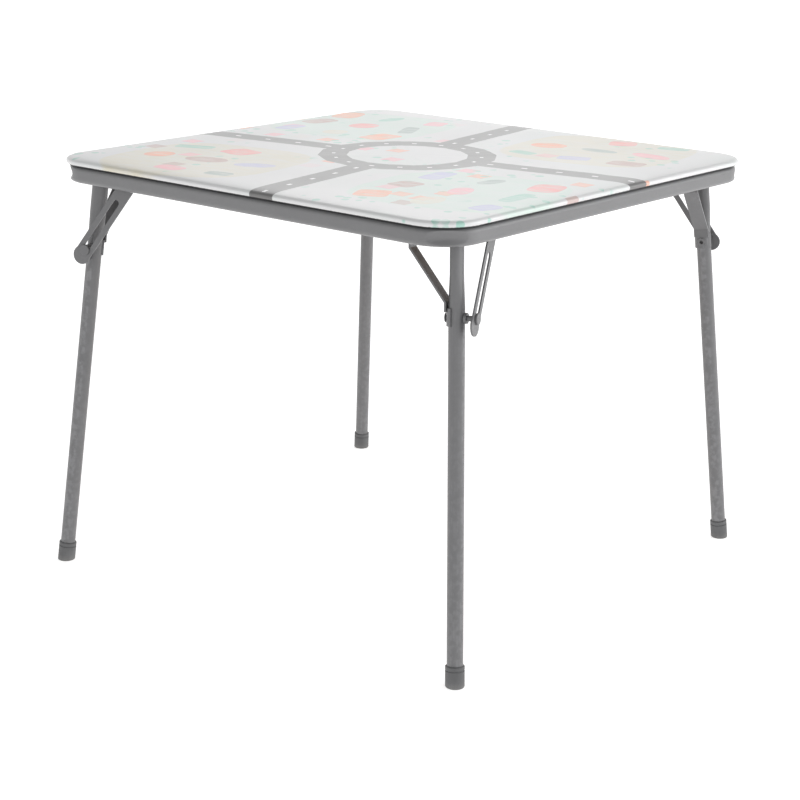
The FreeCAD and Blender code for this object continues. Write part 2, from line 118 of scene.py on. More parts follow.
class PlayTableStage(bpy.types.PropertyGroup):
    azimuth: FloatProperty(name="Azimuth", description="Camera angle round the table, in degrees",
                           default=39.11)
    elevation: FloatProperty(name="Elevation", description="Camera angle above the floor, in degrees",
                             default=16.29)
    roll: FloatProperty(name="Roll", description="Camera roll, in degrees", default=1.02)
    distance: length("Distance", "Camera distance from its target", 2.4333)
    target_height: length("Target height", "Height of the point the camera looks at", 0.2032)
    lens: FloatProperty(name="Lens", description="Focal length in millimetres", default=86.8)
    shift_x: FloatProperty(name="Shift across", description="Camera shift across, in picture widths",
                           default=-0.0040, precision=4)
    shift_y: FloatProperty(name="Shift up", description="Camera shift up, in picture widths",
                           default=-0.0049, precision=4)


def sizes():
    return bpy.context.scene.play_table_sizes


def colours():
    return bpy.context.scene.play_table_colours


# ------------------------------------------------------------- node helpers


def node(tree, kind, inputs=None, **settings):
    made = tree.nodes.new(kind)
    for key, value in settings.items():
        setattr(made, key, value)
    for key, value in (inputs or {}).items():
        plug(tree, value, made.inputs[key])
    return made


def plug(tree, value, target):
    if isinstance(value, bpy.types.NodeSocket):
        tree.links.new(value, target)
    else:
        target.default_value = value


def maths(tree, operation, first, second=0.0):
    return node(tree, "ShaderNodeMath", {0: first, 1: second}, operation=operation).outputs[0]


def vector_maths(tree, operation, first, second=None, scale=None):
    made = node(tree, "ShaderNodeVectorMath", {0: first}, operation=operation)
    if second is not None:
        plug(tree, second, made.inputs[1])
    if scale is not None:
        plug(tree, scale, made.inputs["Scale"])
    return made.outputs["Value"] if operation in ("LENGTH", "DISTANCE", "DOT_PRODUCT") else made.outputs[0]


def held(tree, value, low=0.0, high=1.0):
    """value, kept from low to high."""
    return maths(tree, "MINIMUM", maths(tree, "MAXIMUM", value, low), high)


def ramp(tree, value, start, end, low=0.0, high=1.0):
    """low at start and high at end, level beyond them."""
    made = node(tree, "ShaderNodeMapRange", {"Value": value, "From Min": start, "From Max": end,
                                            "To Min": low, "To Max": high}, clamp=False)
    return held(tree, made.outputs[0], min(low, high), max(low, high))


def mix(tree, mask, first, second):
    made = node(tree, "ShaderNodeMix", {0: mask}, data_type="RGBA")
    for index, value in ((6, first), (7, second)):
        plug(tree, opaque(value), made.inputs[index])
    return made.outputs[2]


def opaque(value):
    if isinstance(value, bpy.types.NodeSocket):
        return value
    return (*value[:3], 1.0)


def tint(value, factor):
    return tuple(min(1.0, channel * factor) for channel in value)


def grain_noise(tree, point, scale, detail=3.0, roughness=0.55):
    made = node(tree, "ShaderNodeTexNoise", {"Vector": point, "Scale": scale, "Detail": detail,
                                            "Roughness": roughness})
    return made.outputs[0]


def new_group(name, takes, gives):
    """Empty shader group with float, vector or colour sockets."""
    group = bpy.data.node_groups.new(name, "ShaderNodeTree")
    kinds = {"f": "NodeSocketFloat", "v": "NodeSocketVector", "c": "NodeSocketColor"}
    for label, kind, default in takes:
        socket = group.interface.new_socket(name=label, in_out="INPUT", socket_type=kinds[kind])
        if default is not None:
            socket.default_value = default
    for label, kind in gives:
        group.interface.new_socket(name=label, in_out="OUTPUT", socket_type=kinds[kind])
    start = group.nodes.new("NodeGroupInput")
    end = group.nodes.new("NodeGroupOutput")
    return group, start.outputs, end.inputs


def use_group(tree, group, inputs):
    made = tree.nodes.new("ShaderNodeGroup")
    made.node_tree = group
    for key, value in inputs.items():
        plug(tree, value, made.inputs[key])
    return made.outputs


def shared_group(name, build):
    return bpy.data.node_groups.get(name) or build(name)


def build_road_stroke(name):
    """A straight length of road with round ends and a dashed middle line."""
    group, given, out = new_group(
        name,
        [("Point", "v", None), ("Start", "v", None), ("End", "v", None),
         ("Half Width", "f", 0.01), ("Dash Pitch", "f", 0.03)],
        [("Road", "f"), ("Dash", "f")])
    rel = vector_maths(group, "SUBTRACT", given["Point"], given["Start"])
    run = vector_maths(group, "SUBTRACT", given["End"], given["Start"])
    share = held(group, maths(group, "DIVIDE", vector_maths(group, "DOT_PRODUCT", rel, run),
                              vector_maths(group, "DOT_PRODUCT", run, run)))
    foot = vector_maths(group, "SCALE", run, scale=share)
    away = vector_maths(group, "LENGTH", vector_maths(group, "SUBTRACT", rel, foot))
    inside = maths(group, "SUBTRACT", given["Half Width"], away)
    group.links.new(ramp(group, inside, -0.0004, 0.0004), out["Road"])
    along = maths(group, "MULTIPLY", share, vector_maths(group, "LENGTH", run))
    beat = maths(group, "FRACT", maths(group, "DIVIDE", along, given["Dash Pitch"]))
    on = maths(group, "LESS_THAN", maths(group, "ABSOLUTE", maths(group, "SUBTRACT", beat, 0.5)), 0.085)
    group.links.new(maths(group, "MULTIPLY", on, ramp(group, away, 0.0023, 0.0019)), out["Dash"])
    return group


def build_printed_patch(name):
    """A printed patch, from round to square, with a soft edge."""
    group, given, out = new_group(
        name,
        [("Point", "v", None), ("Centre", "v", None), ("Turn", "f", 0.0),
         ("Half Length", "f", 0.03), ("Half Width", "f", 0.02), ("Squareness", "f", 2.0)],
        [("Patch", "f")])
    rel = vector_maths(group, "SUBTRACT", given["Point"], given["Centre"])
    turned = node(group, "ShaderNodeVectorRotate", {"Vector": rel, "Angle": given["Turn"]},
                  rotation_type="Z_AXIS").outputs[0]
    across = []
    for axis, half in (((1, 0, 0), given["Half Length"]), ((0, 1, 0), given["Half Width"])):
        part = vector_maths(group, "DOT_PRODUCT", turned, axis)
        share = maths(group, "DIVIDE", maths(group, "ABSOLUTE", part), half)
        across.append(maths(group, "POWER", share, given["Squareness"]))
    reach = maths(group, "ADD", *across)
    group.links.new(ramp(group, reach, 1.04, 0.94), out["Patch"])
    return group


def build_fine_grain(name):
    """Fine surface grain for bump, with a slow variation for roughness and colour."""
    group, given, out = new_group(
        name,
        [("Point", "v", None), ("Grain Scale", "f", 900.0), ("Patch Scale", "f", 12.0)],
        [("Height", "f"), ("Patch", "f")])
    cells = node(group, "ShaderNodeTexVoronoi", {"Vector": given["Point"],
                                                "Scale": given["Grain Scale"]},
                 feature="SMOOTH_F1").outputs["Distance"]
    fine = grain_noise(group, given["Point"], maths(group, "MULTIPLY", given["Grain Scale"], 0.6))
    group.links.new(maths(group, "ADD", maths(group, "MULTIPLY", cells, 0.6), fine), out["Height"])
    group.links.new(grain_noise(group, given["Point"], given["Patch Scale"], 4.0, 0.6), out["Patch"])
    return group


def build_scuffs(name):
    """Short rubbed marks and dust, as a mask."""
    group, given, out = new_group(
        name,
        [("Point", "v", None), ("Scale", "f", 30.0), ("Amount", "f", 0.5)],
        [("Mask", "f"), ("Dust", "f")])
    stretch = vector_maths(group, "MULTIPLY", given["Point"], (1.0, 1.0, 3.5))
    marks = grain_noise(group, stretch, maths(group, "MULTIPLY", given["Scale"], 4.0), 6.0, 0.7)
    where = grain_noise(group, given["Point"], given["Scale"], 2.0)
    sharp = ramp(group, marks, 0.60, 0.68)
    placed = maths(group, "MULTIPLY", sharp, ramp(group, where, 0.50, 0.62))
    group.links.new(maths(group, "MULTIPLY", placed, given["Amount"]), out["Mask"])
    dust = grain_noise(group, given["Point"], maths(group, "MULTIPLY", given["Scale"], 9.0), 5.0)
    group.links.new(ramp(group, dust, 0.45, 0.8), out["Dust"])
    return group


def build_edge_wear(name):
    """Worn convex edges, broken up by noise."""
    group, given, out = new_group(
        name, [("Point", "v", None), ("Break Up", "f", 160.0)], [("Mask", "f")])
    edge = node(group, "ShaderNodeNewGeometry").outputs["Pointiness"]
    sharp = ramp(group, edge, 0.54, 0.62)
    broken = ramp(group, grain_noise(group, given["Point"], given["Break Up"]), 0.42, 0.6)
    group.links.new(maths(group, "MULTIPLY", sharp, broken), out["Mask"])
    return group


def new_material(name):
    made = bpy.data.materials.new(name)
    made.use_nodes = True
    tree = made.node_tree
    shader = tree.nodes["Principled BSDF"]
    point = node(tree, "ShaderNodeTexCoord").outputs["Object"]
    return made, tree, shader, point


def set_bump(tree, shader, height, strength, distance):
    bump = node(tree, "ShaderNodeBump", {"Height": height, "Strength": strength,
                                        "Distance": distance})
    tree.links.new(bump.outputs[0], shader.inputs["Normal"])


def set_plain(shader, **values):
    """Values that are the same all over go on the shader's own sockets."""
    for label, value in values.items():
        shader.inputs[label.replace("_", " ")].default_value = value


# ---------------------------------------------------------------- materials

# Road map: a roundabout, four straight roads and rows of blocks between them.
RING_STEPS = 16
BLOCK_ROWS = (0.34, 0.57, 0.80)
BLOCK_SHAPES = (5.0, 2.2, 3.4)
BLOCK_SHADES = ("mint", "coral", "sand", "pink", "slate", "orange", "clay", "lilac")
PARK_SHADES = ("sand", "mist")
PARK_SHARE = 0.36
ROAD_REACH = 1.2


def map_point(along, across, turn):
    """A point of the map, turned about the middle of the top."""
    return (along * math.cos(turn) - across * math.sin(turn),
            along * math.sin(turn) + across * math.cos(turn), 0.0)


def map_turns():
    """The angles at which the four roads leave the roundabout."""
    return [math.radians(sizes().map_turn + 90.0 * quarter) for quarter in range(4)]


def ring_road():
    return [map_point(sizes().ring_radius, 0.0, 2.0 * math.pi * step / RING_STEPS)
            for step in range(RING_STEPS + 1)]


def straight_road(turn):
    """The two ends of a road from the roundabout out over the edge of the top."""
    return [map_point(reach, 0.0, turn) for reach in (sizes().ring_radius, ROAD_REACH * COVER_HIGH.x)]


def park_plan():
    """One pale park in each quarter: centre, half length, half width, turn, shape, shade."""
    half = COVER_HIGH.x
    for quarter, turn in enumerate(map_turns()):
        yield (map_point(BLOCK_ROWS[1] * half, BLOCK_ROWS[1] * half, turn),
               PARK_SHARE * half, PARK_SHARE * half, turn, BLOCK_SHAPES[2],
               PARK_SHADES[quarter % len(PARK_SHADES)])


def block_plan():
    """Rows of blocks in each quarter, in the same terms, each a little unlike the last."""
    half, block = COVER_HIGH.x, sizes().block_half
    rows = len(BLOCK_ROWS)
    for quarter, turn in enumerate(map_turns()):
        for row in range(rows):
            for place in range(rows):
                count = (quarter * rows + row) * rows + place
                lean = math.radians(6.0 * (count * 11 % 7 - 3))
                yield (map_point(BLOCK_ROWS[row] * half, BLOCK_ROWS[place] * half, turn),
                       block * (0.85 + 0.12 * (count * 7 % 5)),
                       block * (0.50 + 0.14 * (count * 3 % 4)), turn + lean,
                       BLOCK_SHAPES[count % len(BLOCK_SHAPES)],
                       BLOCK_SHADES[count * 5 % len(BLOCK_SHADES)])


def join_strokes(tree, point, points, pitch):
    road = shared_group("Road Stroke", build_road_stroke)
    masks = None
    for start, end in zip(points, points[1:]):
        made = use_group(tree, road, {
            "Point": point, "Start": start, "End": end,
            "Half Width": sizes().road_half, "Dash Pitch": pitch})
        if masks is None:
            masks = [made["Road"], made["Dash"]]
        else:
            masks = [maths(tree, "MAXIMUM", old, made[label])
                     for old, label in zip(masks, ("Road", "Dash"))]
    return masks


def add_patches(tree, point, look, brushed, ground, plan):
    """Print the patches of a plan over the ground."""
    patch = shared_group("Printed Patch", build_printed_patch)
    for centre, half_long, half_wide, turn, shape, shade in plan:
        spot = use_group(tree, patch, {
            "Point": point, "Centre": centre, "Turn": -turn, "Half Length": half_long,
            "Half Width": half_wide, "Squareness": shape})
        ground = mix(tree, maths(tree, "MULTIPLY", spot["Patch"], brushed), ground,
                     tuple(getattr(look, shade)))
    return ground


def town_blocks(tree, point, look, ground):
    """Small printed roofs and trees scattered over the ground."""
    cells = node(tree, "ShaderNodeTexVoronoi", {"Vector": point, "Scale": 26.0,
                                               "Randomness": 0.75}, distance="CHEBYCHEV")
    chance = node(tree, "ShaderNodeSeparateColor", {0: cells.outputs["Color"]}).outputs
    roof = ramp(tree, cells.outputs["Distance"], 0.30, 0.27)
    shade = mix(tree, maths(tree, "GREATER_THAN", chance[1], 0.5), look.pink, look.orange)
    shade = mix(tree, maths(tree, "GREATER_THAN", chance[1], 0.78), shade, look.clay)
    some = maths(tree, "LESS_THAN", chance[0], 0.30)
    ground = mix(tree, maths(tree, "MULTIPLY", maths(tree, "MULTIPLY", roof, some), 0.62),
                 ground, shade)
    dots = node(tree, "ShaderNodeTexVoronoi", {"Vector": point, "Scale": 62.0})
    crown = ramp(tree, dots.outputs["Distance"], 0.36, 0.30)
    luck = node(tree, "ShaderNodeSeparateColor", {0: dots.outputs["Color"]}).outputs[2]
    grove = ramp(tree, grain_noise(tree, point, 9.0, 2.0), 0.52, 0.56)
    planted = maths(tree, "MULTIPLY", maths(tree, "LESS_THAN", luck, 0.42), grove)
    mask = maths(tree, "MULTIPLY", maths(tree, "MULTIPLY", crown, planted), 0.7)
    return mix(tree, mask, ground, look.mint)


def printed_vinyl():
    """Padded vinyl printed with a plain road map, with painted shade along the bottom of the pad's edge.
    """
    look = colours()
    made, tree, shader, point = new_material("printed_vinyl")
    grain = use_group(tree, shared_group("Fine Grain", build_fine_grain),
                      {"Point": point, "Grain Scale": 780.0, "Patch Scale": 7.0})
    scuffs = use_group(tree, shared_group("Scuffs", build_scuffs),
                       {"Point": point, "Scale": 16.0, "Amount": 0.5})
    level = vector_maths(tree, "MULTIPLY", point, (1.0, 1.0, 0.0))
    wobble = node(tree, "ShaderNodeTexNoise", {"Vector": level, "Scale": 34.0, "Detail": 2.0})
    shift = vector_maths(tree, "SCALE", vector_maths(tree, "SUBTRACT", wobble.outputs["Color"],
                                                    (0.5, 0.5, 0.5)), scale=0.0022)
    drawn = vector_maths(tree, "MULTIPLY", vector_maths(tree, "ADD", level, shift),
                         (1.0, 1.0, 0.0))
    wash = grain_noise(tree, level, 6.0, 2.0)
    ground = mix(tree, ramp(tree, wash, 0.46, 0.60, 0.0, 0.2), look.ground, look.mist)
    brushed = ramp(tree, grain_noise(tree, vector_maths(tree, "MULTIPLY", level,
                                                       (1.0, 2.6, 1.0)), 42.0, 3.0),
                   0.34, 0.66, 0.55, 1.0)
    ground = add_patches(tree, drawn, look, brushed, ground, park_plan())
    ground = town_blocks(tree, drawn, look, ground)
    ground = add_patches(tree, drawn, look, brushed, ground, block_plan())
    ring = ring_road()
    chord = math.dist(ring[0], ring[1])
    roads = join_strokes(tree, drawn, ring, chord)
    for turn in map_turns():
        masks = join_strokes(tree, drawn, straight_road(turn), sizes().dash_pitch)
        roads = [maths(tree, "MAXIMUM", old, new) for old, new in zip(roads, masks)]
    asphalt = mix(tree, ramp(tree, grain["Patch"], 0.3, 0.7), look.road, tint(look.road, 1.35))
    ground = mix(tree, roads[0], ground, asphalt)
    ground = mix(tree, roads[1], ground, look.marking)
    # Painted shade: the lowest strip of the pad, with a ragged upper edge, is mixed to a near-black colour
    # to stand in for the shadow in the gap under the pad.
    height = node(tree, "ShaderNodeSeparateXYZ", {0: point}).outputs[2]
    ragged = maths(tree, "ADD", height, maths(tree, "MULTIPLY", grain_noise(
        tree, level, 260.0, 3.0), -0.0012))
    painted_hem_shade = ramp(tree, ragged, COVER_LOW.z + 0.0018, COVER_LOW.z + 0.0012)
    rubbed = mix(tree, maths(tree, "MULTIPLY", scuffs["Mask"], 0.16), ground, (0.42, 0.41, 0.40))
    rubbed = mix(tree, painted_hem_shade, rubbed, look.painted_hem_shade)
    tree.links.new(rubbed, shader.inputs["Base Color"])
    gloss = ramp(tree, grain["Patch"], 0.25, 0.75, 0.30, 0.42)
    tree.links.new(maths(tree, "ADD", gloss, maths(tree, "MULTIPLY", scuffs["Mask"], 0.2)),
                   shader.inputs["Roughness"])
    # The coat is turned off on the painted shade strip, so that strip reflects nothing.
    tree.links.new(maths(tree, "SUBTRACT", 1.0, painted_hem_shade), shader.inputs["Coat Weight"])
    set_plain(shader, IOR=1.5, Coat_Roughness=0.50, Coat_IOR=1.6)
    set_bump(tree, shader, grain["Height"], 0.22, 0.0003)
    return made


def powder_coat(name, base, rough, scale):
    """Satin powder coat with orange peel, rubbed edges and a little dust."""
    made, tree, shader, point = new_material(name)
    grain = use_group(tree, shared_group("Fine Grain", build_fine_grain),
                      {"Point": point, "Grain Scale": scale, "Patch Scale": 14.0})
    scuffs = use_group(tree, shared_group("Scuffs", build_scuffs),
                       {"Point": point, "Scale": 24.0, "Amount": 0.6})
    wear = use_group(tree, shared_group("Edge Wear", build_edge_wear), {"Point": point})["Mask"]
    shade = mix(tree, ramp(tree, grain["Patch"], 0.3, 0.7), tint(base, 0.96), tint(base, 1.04))
    shade = mix(tree, maths(tree, "MULTIPLY", scuffs["Mask"], 0.22), shade, tint(base, 1.7))
    shade = mix(tree, maths(tree, "MULTIPLY", scuffs["Dust"], 0.02), shade, (0.55, 0.54, 0.52))
    shade = mix(tree, maths(tree, "MULTIPLY", wear, 0.45), shade, tint(base, 2.0))
    tree.links.new(shade, shader.inputs["Base Color"])
    tree.links.new(ramp(tree, grain["Patch"], 0.2, 0.8, rough - 0.05, rough + 0.07),
                   shader.inputs["Roughness"])
    tree.links.new(maths(tree, "MULTIPLY", wear, 0.5), shader.inputs["Metallic"])
    set_plain(shader, IOR=1.5)
    set_bump(tree, shader, grain["Height"], 0.3, 0.00018)
    return made


def moulded_cap():
    """Matt moulded foot plastic with a fine spark texture and floor dust at its base."""
    base = tuple(colours().cap_grey)
    made, tree, shader, point = new_material("moulded_cap")
    grain = use_group(tree, shared_group("Fine Grain", build_fine_grain),
                      {"Point": point, "Grain Scale": 1500.0, "Patch Scale": 40.0})
    scuffs = use_group(tree, shared_group("Scuffs", build_scuffs),
                       {"Point": point, "Scale": 60.0, "Amount": 0.8})
    height = node(tree, "ShaderNodeSeparateXYZ", {0: point}).outputs[2]
    low = maths(tree, "MULTIPLY", ramp(tree, height, 0.008, 0.0),
                ramp(tree, scuffs["Dust"], 0.2, 0.9, 0.25, 0.7))
    shade = mix(tree, ramp(tree, grain["Patch"], 0.3, 0.7), tint(base, 0.85), tint(base, 1.2))
    shade = mix(tree, maths(tree, "MULTIPLY", scuffs["Mask"], 0.35), shade, tint(base, 2.4))
    shade = mix(tree, low, shade, (0.30, 0.29, 0.27))
    tree.links.new(shade, shader.inputs["Base Color"])
    tree.links.new(ramp(tree, grain["Patch"], 0.2, 0.8, 0.48, 0.62), shader.inputs["Roughness"])
    set_plain(shader, IOR=1.48)
    set_bump(tree, shader, grain["Height"], 0.25, 0.0002)
    return made


def plated_steel():
    """Zinc-plated steel with turning marks and dull patches."""
    base = tuple(colours().zinc)
    made, tree, shader, point = new_material("plated_steel")
    grain = use_group(tree, shared_group("Fine Grain", build_fine_grain),
                      {"Point": point, "Grain Scale": 2200.0, "Patch Scale": 90.0})
    scuffs = use_group(tree, shared_group("Scuffs", build_scuffs),
                       {"Point": point, "Scale": 90.0, "Amount": 1.0})
    shade = mix(tree, ramp(tree, grain["Patch"], 0.3, 0.7), tint(base, 0.8), tint(base, 1.15))
    shade = mix(tree, maths(tree, "MULTIPLY", scuffs["Mask"], 0.5), shade, (0.20, 0.19, 0.18))
    tree.links.new(shade, shader.inputs["Base Color"])
    tree.links.new(ramp(tree, grain["Patch"], 0.2, 0.8, 0.26, 0.44), shader.inputs["Roughness"])
    set_plain(shader, Metallic=1.0)
    set_bump(tree, shader, grain["Height"], 0.2, 0.0001)
    return made


def hardboard():
    """Bare hardboard: brown, pressed fibres, a faint mesh on the rough side."""
    base = tuple(colours().board)
    made, tree, shader, point = new_material("hardboard")
    fibres = grain_noise(tree, point, 420.0, 8.0, 0.75)
    flecks = grain_noise(tree, point, 1400.0, 2.0)
    blotches = grain_noise(tree, point, 7.0, 4.0)
    weave = node(tree, "ShaderNodeTexWave", {"Vector": point, "Scale": 130.0,
                                            "Distortion": 0.6}).outputs[1]
    shade = mix(tree, ramp(tree, fibres, 0.35, 0.65), tint(base, 0.8), tint(base, 1.25))
    shade = mix(tree, ramp(tree, flecks, 0.62, 0.72, 0.0, 0.6), shade, tint(base, 2.0))
    shade = mix(tree, ramp(tree, blotches, 0.4, 0.7, 0.0, 0.35), shade, tint(base, 0.6))
    tree.links.new(shade, shader.inputs["Base Color"])
    tree.links.new(ramp(tree, fibres, 0.3, 0.7, 0.62, 0.8), shader.inputs["Roughness"])
    height = maths(tree, "ADD", fibres, maths(tree, "MULTIPLY", weave, 0.4))
    set_bump(tree, shader, height, 0.35, 0.0003)
    return made


def material(name):
    """A finish by its name, made the first time it is asked for."""
    found = bpy.data.materials.get(name)
    if found:
        return found
    look = colours()
    makers = {
        "printed_vinyl": printed_vinyl,
        "frame_coat": lambda: powder_coat("frame_coat", tuple(look.frame_grey), 0.33, 1100.0),
        "leg_coat": lambda: powder_coat("leg_coat", tuple(look.leg_grey), 0.34, 1100.0),
        "moulded_cap": moulded_cap,
        "plated_steel": plated_steel,
        "hardboard": hardboard,
    }
    return makers[name]()


# ------------------------------------------------------------ mesh helpers


def finish_node(name, finish):
    """Give a CAD node its finish."""
    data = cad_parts[name].data
    data.materials.clear()
    data.materials.append(material(finish))


def new_piece(name, mesh, finish, body):
    piece = bpy.data.objects.new(name, mesh)
    bpy.context.scene.collection.objects.link(piece)
    mesh.materials.clear()
    mesh.materials.append(material(finish))
    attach(piece, body)
    return piece


def loop_stations(half, radius, straight_steps, bend_steps):
    """Points round a rounded square, anticlockwise: place, outward direction, bend share."""
    stations = []
    inner = half - radius
    for turn in range(4):
        angle = math.radians(90.0 * turn)
        spin = Matrix.Rotation(angle, 3, "Z")
        for step in range(straight_steps):
            along = -inner + 2 * inner * step / straight_steps
            stations.append((spin @ Vector((along, -half, 0.0)), spin @ Vector((0, -1, 0)), -1.0))
        for step in range(bend_steps):
            share = step / bend_steps
            swing = math.radians(90.0 * share)
            out = Vector((math.sin(swing), -math.cos(swing), 0.0))
            centre = Vector((inner, -inner, 0.0))
            stations.append((spin @ (centre + out * radius), spin @ out, share))
    return stations


def skin_rings(rings, closed_section):
    """Quads between rings of points; the section either closes on itself or is open."""
    vertices = [point for ring in rings for point in ring]
    count = len(rings[0])
    faces = []
    total = len(rings)
    for index in range(total if closed_section else total - 1):
        after = (index + 1) % total
        for step in range(count):
            following = (step + 1) % count
            faces.append((index * count + step, index * count + following,
                          after * count + following, after * count + step))
    return vertices, faces


def outward_mesh(name, vertices, faces, sharp_angle):
    mesh = bpy.data.meshes.new(name)
    mesh.from_pydata([tuple(v) for v in vertices], [], faces)
    work = bmesh.new()
    work.from_mesh(mesh)
    bmesh.ops.recalc_face_normals(work, faces=work.faces)
    work.to_mesh(mesh)
    work.free()
    for polygon in mesh.polygons:
        polygon.use_smooth = True
    mesh.set_sharp_from_angle(angle=math.radians(sharp_angle))
    return mesh


def rolled_copy(node_name, piece_name, width, finish, body, segments=2):
    """A copy of a CAD plate with its edges rolled over, standing for the plate."""
    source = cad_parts[node_name]
    work = bmesh.new()
    work.from_mesh(source.data)
    bmesh.ops.remove_doubles(work, verts=work.verts, dist=2e-6)
    bmesh.ops.dissolve_limit(work, angle_limit=math.radians(0.6), verts=work.verts,
                             edges=work.edges)
    sharp = [edge for edge in work.edges
             if len(edge.link_faces) == 2 and edge.calc_face_angle(0.0) > math.radians(32.0)]
    bmesh.ops.bevel(work, geom=sharp, offset=width, offset_type="OFFSET", segments=segments,
                    profile=0.5, affect="EDGES", clamp_overlap=True)
    bmesh.ops.recalc_face_normals(work, faces=work.faces)
    mesh = bpy.data.meshes.new(piece_name)
    work.to_mesh(mesh)
    work.free()
    for polygon in mesh.polygons:
        polygon.use_smooth = True
    mesh.set_sharp_from_angle(angle=math.radians(40.0))
    piece = new_piece(piece_name, mesh, finish, body)
    weighted = piece.modifiers.new("even shading", "WEIGHTED_NORMAL")
    weighted.keep_sharp = True
    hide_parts(node_name)
    return piece


# ---------------------------------------------------------------- operators


class PLAYTABLE_OT_padded_top(bpy.types.Operator):
    """Build the printed, padded vinyl top with its rolled edge and turned-under hem"""
    bl_idname = "play_table.padded_top"
    bl_label = "Padded Top"

    def execute(self, context):
        size = sizes()
        half = COVER_HIGH.x
        low, high = COVER_LOW.z, COVER_HIGH.z
        inside = PANEL_LOW.z
        stations = loop_stations(half, size.corner_radius, 64, 48)
        outer = ((size.hem_width, low), (0.0120, low), (0.0062, low), (0.0042, low + 0.0001),
                 (0.0029, low + 0.0005), (0.0019, low + 0.0012), (0.0010, low + 0.0021),
                 (0.0004, low + 0.0032), (0.0000, low + 0.0045), (0.0002, low + 0.0056),
                 (0.0009, low + 0.0066), (0.0019, low + 0.0075), (0.0036, low + 0.0083),
                 (0.0060, low + 0.0088), (0.0090, high + 0.2 * size.crown),
                 (0.0130, high + 0.6 * size.crown), (0.0190, high + 0.9 * size.crown),
                 (0.0280, high + size.crown), (0.0400, high + size.crown))
        inner = ((0.0060, high - 0.0014), (0.0018, low + 0.0045), (0.0040, inside + 0.0002),
                 (size.hem_width, inside))
        rings = [self.ring(stations, inset, height, low, high) for inset, height in outer]
        edge = rings[-1]
        for share in (0.93, 0.86, 0.78, 0.70, 0.62, 0.54, 0.46, 0.38, 0.30, 0.22, 0.14, 0.07):
            rings.append([self.rippled(Vector((p.x * share, p.y * share, p.z)), high)
                          for p in edge])
        under = [[Vector((p.x * share, p.y * share, high - size.vinyl))
                  for p in self.ring(stations, size.vinyl, 0.0, low, high)]
                 for share in (0.07, 0.5)]
        rings += under
        rings += [self.ring(stations, inset, height, low, high) for inset, height in inner]
        vertices, faces = skin_rings(rings, True)
        count = len(stations)
        split = len(outer) + 12 - 1
        faces = [f for f in faces
                 if not (split * count <= min(f) and max(f) < (split + 2) * count)]
        for ring_index, height in ((split, high + size.crown), (split + 1, high - size.vinyl)):
            middle = len(vertices)
            vertices.append(Vector((0.0, 0.0, height)))
            first = ring_index * count
            faces += [(first + step, first + (step + 1) % count, middle)
                      for step in range(count)]
        mesh = outward_mesh("padded_cover", vertices, faces, 60.0)
        cover = new_piece("padded_cover", mesh, "printed_vinyl", "table")
        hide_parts("top_cover", "top_foam")
        return {"FINISHED"}

    def ring(self, stations, inset, height, low, high):
        """One ring of the cover, gathered a little where it goes round the corners."""
        size = sizes()
        points = []
        on_side = max(0.0, 1.0 - abs(height - (low + 0.0040)) / 0.0046) if inset < 0.007 else 0.0
        for place, out, share in stations:
            point = place - out * inset
            if on_side > 0.0:
                wave = 0.25 * noise.noise(Vector((place.x * 26, place.y * 26, height * 120)))
                if share >= 0.0:
                    wave += math.sin(share * 52.0 + 2.2 * noise.noise(place * 60)) \
                        * math.sin(math.pi * share) * (high - height) / (high - low)
                point = point - out * (size.pucker * on_side * max(0.0, 0.5 + 0.5 * wave))
            lift = height
            if height > high:
                lift = self.rippled(Vector((point.x, point.y, height)), high).z
            points.append(Vector((point.x, point.y, lift)))
        return points

    def rippled(self, point, high):
        wave = noise.noise(Vector((point.x * 9.0, point.y * 9.0, 0.3)))
        wave += 0.4 * noise.noise(Vector((point.x * 27.0, point.y * 27.0, 4.1)))
        return Vector((point.x, point.y, max(high, point.z + sizes().ripple * wave)))


class PLAYTABLE_OT_underside(bpy.types.Operator):
    """Build the hardboard panel that shows inside the hem from underneath"""
    bl_idname = "play_table.underside"
    bl_label = "Underside Panel"

    def execute(self, context):
        inset = 0.0046
        stations = loop_stations(PANEL_HIGH.x - inset, sizes().corner_radius - inset, 12, 20)
        low, high = PANEL_LOW.z, PANEL_HIGH.z
        profile = ((0.0008, low), (0.0002, low + 0.0003), (0.0, low + 0.0008),
                   (0.0, high - 0.0008), (0.0002, high - 0.0003), (0.0008, high))
        rings = [[place - out * inset + Vector((0, 0, height)) for place, out, share in stations]
                 for inset, height in profile]
        for share in (0.6, 0.2):
            rings.append([Vector((p.x * share, p.y * share, high)) for p in rings[5]])
            rings.insert(0, [Vector((p.x * share, p.y * share, low)) for p in rings[0]])
        vertices, faces = skin_rings(rings, False)
        count = len(stations)
        faces.append(tuple(range(count)))
        faces.append(tuple(range(len(vertices) - count, len(vertices)))[::-1])
        mesh = outward_mesh("hardboard_panel", vertices, faces, 40.0)
        panel = new_piece("hardboard_panel", mesh, "hardboard", "table")
        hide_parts("top_panel")
        return {"FINISHED"}


